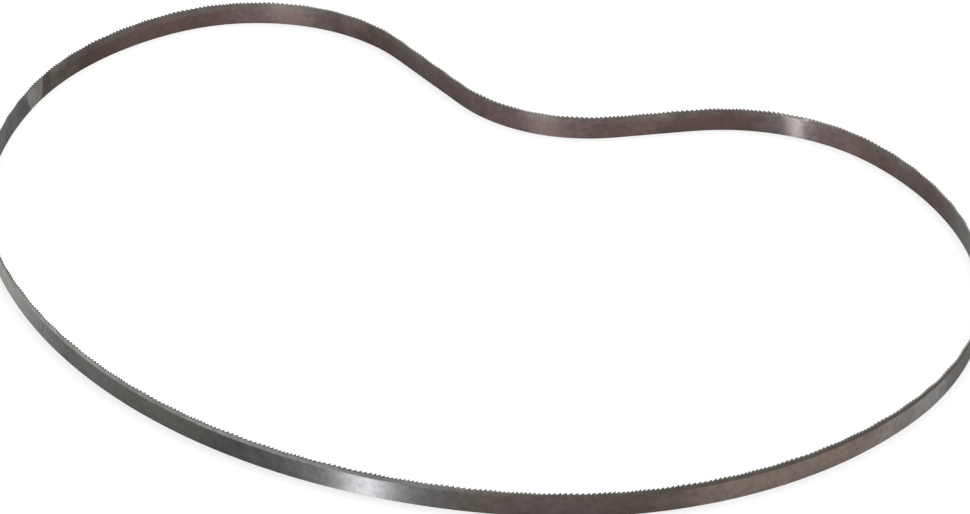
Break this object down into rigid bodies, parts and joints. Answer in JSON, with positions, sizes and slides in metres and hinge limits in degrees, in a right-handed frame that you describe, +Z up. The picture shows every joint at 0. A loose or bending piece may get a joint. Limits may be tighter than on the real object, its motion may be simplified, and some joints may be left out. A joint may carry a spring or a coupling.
{
  "type": "band saw blade",
  "caption": "Endless toothed steel band for a band saw, welded into a loop and standing on its back edge with the teeth up.",
  "frame": {"origin": "middle of the loop's box, on the plane of the back edge", "axes": "+Z up from the back edge to the tooth tips; +Y from the plain near side of the loop to the dented far side; +X to the right of it"},
  "size_m": [0.4794, 0.429, 0.0127],
  "materials": {
    "band_steel": "hardened and tempered strip steel, brown oxide on the body and a lighter ground zone at the teeth"
  },
  "bodies": {
    "root": {"saw_blade": "band_steel"}
  },
  "joints": []
}
